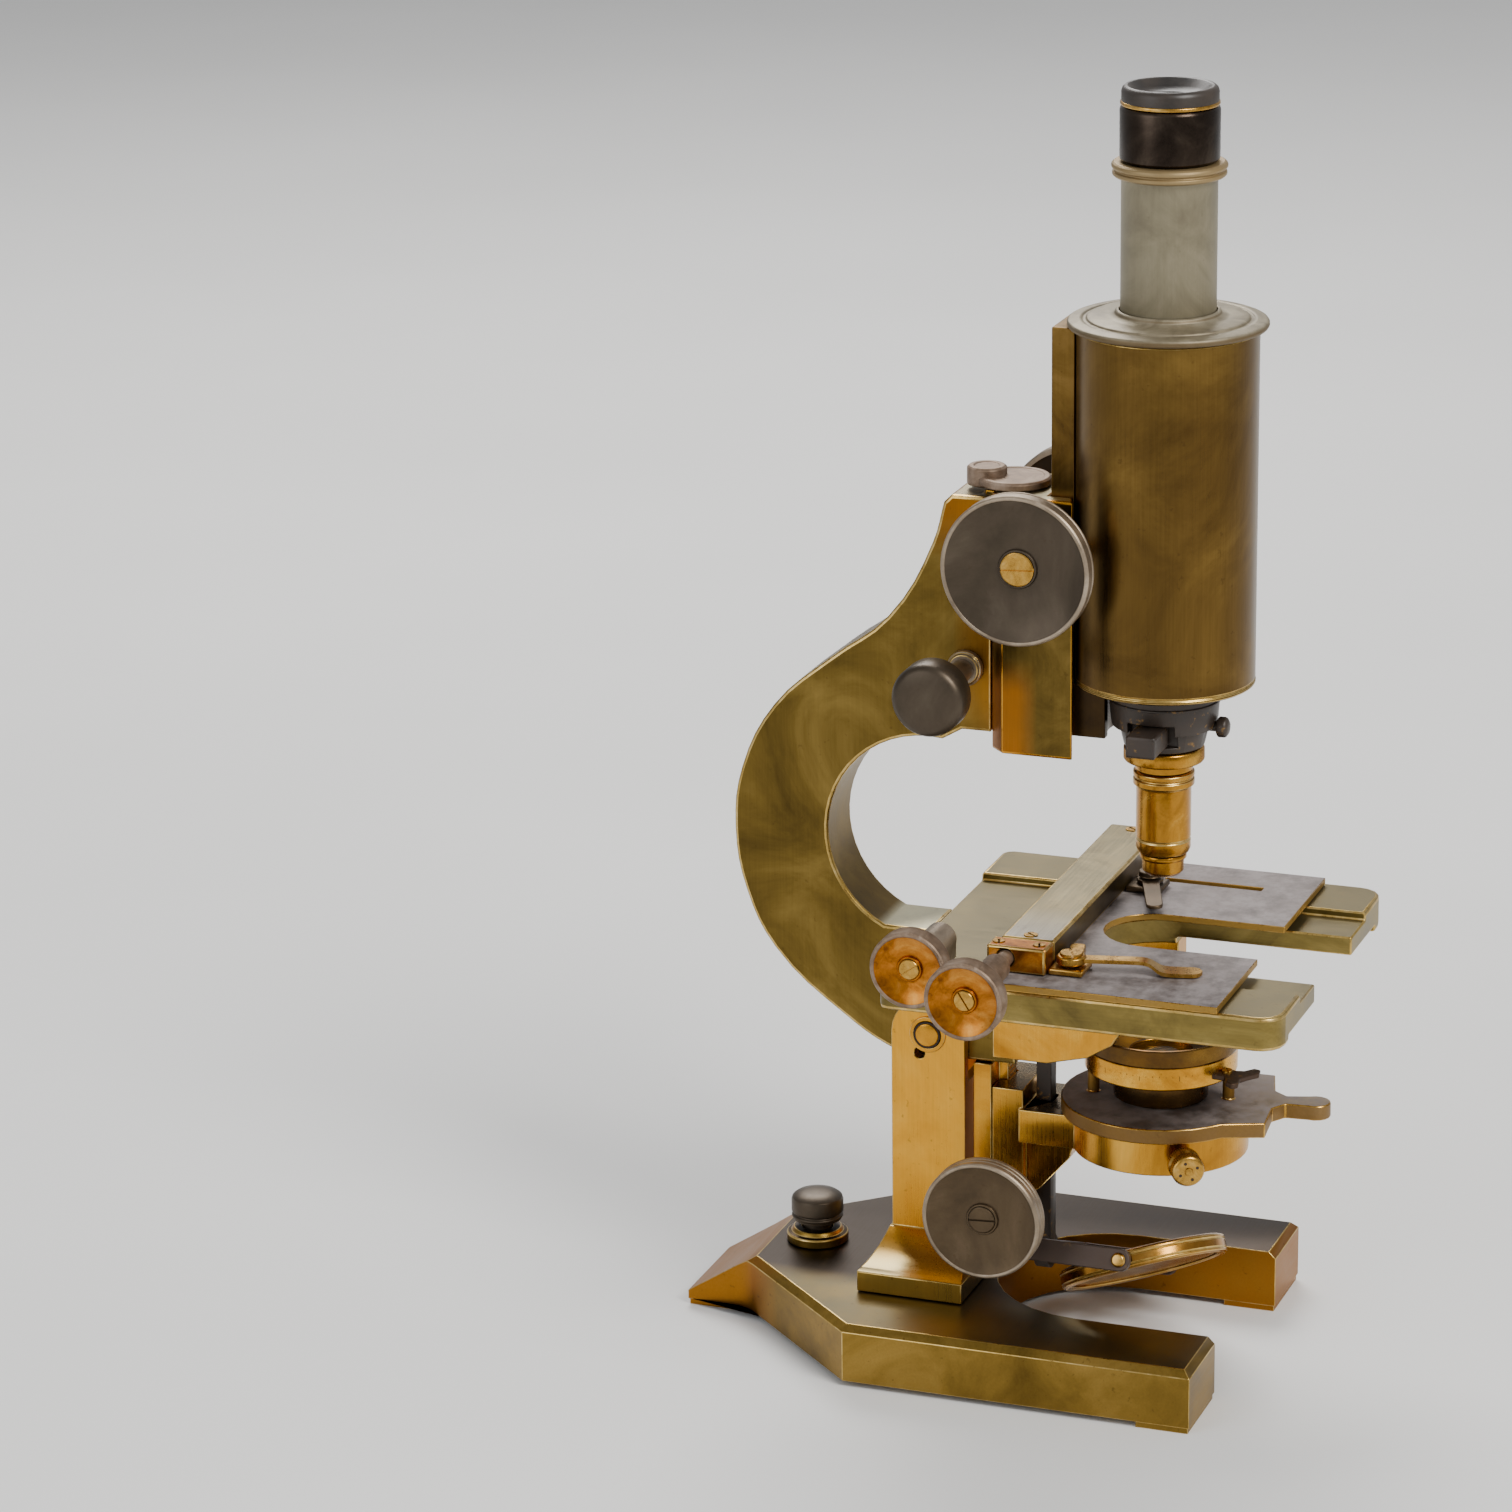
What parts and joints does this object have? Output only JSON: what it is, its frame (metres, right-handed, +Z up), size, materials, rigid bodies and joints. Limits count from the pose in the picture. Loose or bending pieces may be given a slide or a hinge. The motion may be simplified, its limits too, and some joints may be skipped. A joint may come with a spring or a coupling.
{
  "type": "compound microscope",
  "caption": "Upright brass compound microscope on a horseshoe foot, with an inclining limb, focusing tube, mechanical stage, substage condenser and mirror.",
  "frame": {"origin": "middle of the outer box at the height of the table", "axes": "+Z up along the optical tube, -Y the front where the stage opens, +X the side away from the small stage knobs"},
  "size_m": [0.1494, 0.188, 0.3659],
  "materials": {
    "lacquered_brass": "warm golden lacquer, lightly spotted",
    "foot_brass": "worn golden lacquer with an olive top",
    "olive_brass": "mottled olive patina with bright edges",
    "tube_brass": "olive-brown lacquer, brushed around",
    "dark_bronze": "oxidised grey-brown",
    "copper_brass": "coppery brass with grey rims",
    "bright_brass": "handled bright brass",
    "black_enamel": "chipped black lacquer over brass",
    "stage_grey": "dusty dark grey with brass edges",
    "iris_bronze": "dark bronze with brass edge",
    "nickel_silver": "dull nickel plate",
    "eyepiece_bronze": "dark brown bronze",
    "black_cap": "black turned cap",
    "lens_glass": "clear polished lens",
    "mirror_glass": "silvered glass, slightly aged"
  },
  "bodies": {
    "stand": {"foot": "foot_brass", "pillar": "lacquered_brass", "inclination_pin": "lacquered_brass", "toe_stop_collar": "foot_brass"},
    "toe_stop": {"toe_stop_screw": "dark_bronze"},
    "limb": {"limb": "olive_brass", "stage_bracket": "lacquered_brass", "stage": "olive_brass", "stage_y_bearing": "dark_bronze", "substage_rail": "lacquered_brass", "fine_focus_collar": "dark_bronze", "mirror_bar": "black_enamel"},
    "fine_slide": {"fine_carrier": "olive_brass", "carrier_cap_large": "dark_bronze", "carrier_cap_small": "dark_bronze"},
    "fine_knob": {"fine_focus_spindle": "bright_brass", "fine_focus_knob": "dark_bronze"},
    "coarse_knobs": {"coarse_pinion": "bright_brass", "coarse_knob_near": "dark_bronze", "coarse_knob_far": "dark_bronze"},
    "tube": {"tube_slide": "lacquered_brass", "body_tube": "tube_brass", "tube_head": "tube_brass", "nosepiece": "black_enamel", "objective_adapter": "lacquered_brass", "objective_barrel": "lacquered_brass", "objective_nose": "lacquered_brass", "objective_lens": "lens_glass"},
    "changer_lever": {"changer_lug": "black_enamel"},
    "nosepiece_screw": {"nosepiece_clamp_screw": "black_enamel"},
    "draw_tube": {"draw_tube": "nickel_silver"},
    "eyepiece": {"eyepiece_body": "eyepiece_bronze", "eyepiece_cap": "black_cap", "eye_lens": "lens_glass", "field_lens": "lens_glass"},
    "stage_y": {"stage_plate": "stage_grey"},
    "stage_y_knob": {"stage_y_knob": "copper_brass"},
    "stage_x": {"cross_bar": "olive_brass", "x_drive_block": "copper_brass", "clip_seat_near": "bright_brass", "clip_seat_far": "bright_brass", "clip_screw_near": "bright_brass", "clip_screw_far": "bright_brass"},
    "stage_x_knob": {"stage_x_knob": "copper_brass"},
    "clip_near": {"clip_near": "lacquered_brass"},
    "clip_far": {"clip_far": "lacquered_brass"},
    "substage": {"substage_bracket": "lacquered_brass"},
    "substage_knob": {"substage_pinion": "dark_bronze", "substage_knob": "copper_brass"},
    "substage_screw": {"substage_clamp_screw": "bright_brass"},
    "iris": {"iris_plate": "iris_bronze", "condenser_mount": "lacquered_brass", "condenser_lens": "lens_glass"},
    "mirror_fork": {"mirror_fork": "black_enamel", "mirror_pivot_near": "bright_brass", "mirror_pivot_far": "bright_brass"},
    "mirror": {"mirror_rim": "lacquered_brass", "mirror_flat": "mirror_glass", "mirror_hollow": "mirror_glass"}
  },
  "joints": [
    {"name": "limb_incline", "type": "hinge", "parent": "stand", "child": "limb", "pos_m": [0.01275, 0.0205, 0.092], "axis": [-1, 0, 0], "range_deg": [0, 89.5]},
    {"name": "toe_stop_set", "type": "slide", "parent": "stand", "child": "toe_stop", "axis": [0, 0, 1], "range_m": [-0.002, 0]},
    {"name": "fine_focus", "type": "slide", "parent": "limb", "child": "fine_slide", "axis": [0, 0, 1], "range_m": [-0.001, 0.001]},
    {"name": "fine_knob_turn", "type": "hinge", "parent": "limb", "child": "fine_knob", "pos_m": [0.01275, 0.01, 0.201], "axis": [-1, 0, 0], "range_deg": [-361, 361]},
    {"name": "coarse_focus", "type": "slide", "parent": "fine_slide", "child": "tube", "axis": [0, 0, 1], "range_m": [-0.007, 0.035]},
    {"name": "coarse_knob_turn", "type": "hinge", "parent": "fine_slide", "child": "coarse_knobs", "pos_m": [0.01275, -0.0109, 0.236], "axis": [-1, 0, 0], "range_deg": [-122, 609]},
    {"name": "changer_turn", "type": "hinge", "parent": "tube", "child": "changer_lever", "pos_m": [0.01275, -0.0445, 0.1866], "axis": [0, 0, 1], "range_deg": [-8, 8]},
    {"name": "nosepiece_screw_turn", "type": "hinge", "parent": "tube", "child": "nosepiece_screw", "pos_m": [0.01275, -0.0585, 0.1873], "axis": [0, -1, 0], "continuous": true},
    {"name": "draw_tube_slide", "type": "slide", "parent": "tube", "child": "draw_tube", "axis": [0, 0, 1], "range_m": [-0.035, 0.02]},
    {"name": "eyepiece_lift", "type": "slide", "parent": "draw_tube", "child": "eyepiece", "axis": [0, 0, 1], "range_m": [0, 0.03]},
    {"name": "stage_y_move", "type": "slide", "parent": "limb", "child": "stage_y", "axis": [0, 1, 0], "range_m": [-0.02, 0.004]},
    {"name": "stage_y_knob_turn", "type": "hinge", "parent": "limb", "child": "stage_y_knob", "pos_m": [-0.04725, 0.0085, 0.1304], "axis": [1, 0, 0], "range_deg": [-287, 58]},
    {"name": "stage_x_move", "type": "slide", "parent": "stage_y", "child": "stage_x", "axis": [1, 0, 0], "range_m": [-0.02, 0.005]},
    {"name": "stage_x_knob_turn", "type": "hinge", "parent": "stage_x", "child": "stage_x_knob", "pos_m": [-0.04725, -0.0143, 0.1312], "axis": [1, 0, 0], "range_deg": [-721, 181]},
    {"name": "clip_near_swing", "type": "hinge", "parent": "stage_x", "child": "clip_near", "pos_m": [-0.03075, -0.0313, 0.13], "axis": [0, 0, 1], "range_deg": [-30, 30]},
    {"name": "clip_far_swing", "type": "hinge", "parent": "stage_x", "child": "clip_far", "pos_m": [0.04275, -0.032, 0.13], "axis": [0, 0, 1], "range_deg": [-8, 40]},
    {"name": "substage_focus", "type": "slide", "parent": "limb", "child": "substage", "axis": [0, 0, 1], "range_m": [-0.007, 0.0065]},
    {"name": "substage_knob_turn", "type": "hinge", "parent": "substage", "child": "substage_knob", "pos_m": [0.01275, -0.004, 0.0483], "axis": [-1, 0, 0], "range_deg": [-109, 101]},
    {"name": "substage_screw_turn", "type": "hinge", "parent": "substage", "child": "substage_screw", "pos_m": [-0.00911, -0.05662, 0.0672], "axis": [-0.8746, -0.4848, 0], "continuous": true},
    {"name": "iris_turn", "type": "hinge", "parent": "substage", "child": "iris", "pos_m": [0.01275, -0.0445, 0.074], "axis": [0, 0, 1], "range_deg": [-25, 25]},
    {"name": "mirror_roll", "type": "hinge", "parent": "limb", "child": "mirror_fork", "pos_m": [0.01275, -0.0127, 0.0245], "axis": [0, 1, 0], "range_deg": [-63, 17]},
    {"name": "mirror_tilt", "type": "hinge", "parent": "mirror_fork", "child": "mirror", "pos_m": [0.01275, -0.0398, 0.0245], "axis": [0.9205, 0, -0.3907], "range_deg": [-39, 81]}
  ],
  "couplings": [
    {"joint": "coarse_knob_turn", "follows": "coarse_focus", "rad_per_m": 303.03},
    {"joint": "fine_knob_turn", "follows": "fine_focus", "rad_per_m": 6283.2},
    {"joint": "stage_y_knob_turn", "follows": "stage_y_move", "rad_per_m": 250},
    {"joint": "stage_x_knob_turn", "follows": "stage_x_move", "rad_per_m": 628},
    {"joint": "substage_knob_turn", "follows": "substage_focus", "rad_per_m": 270.27}
  ]
}
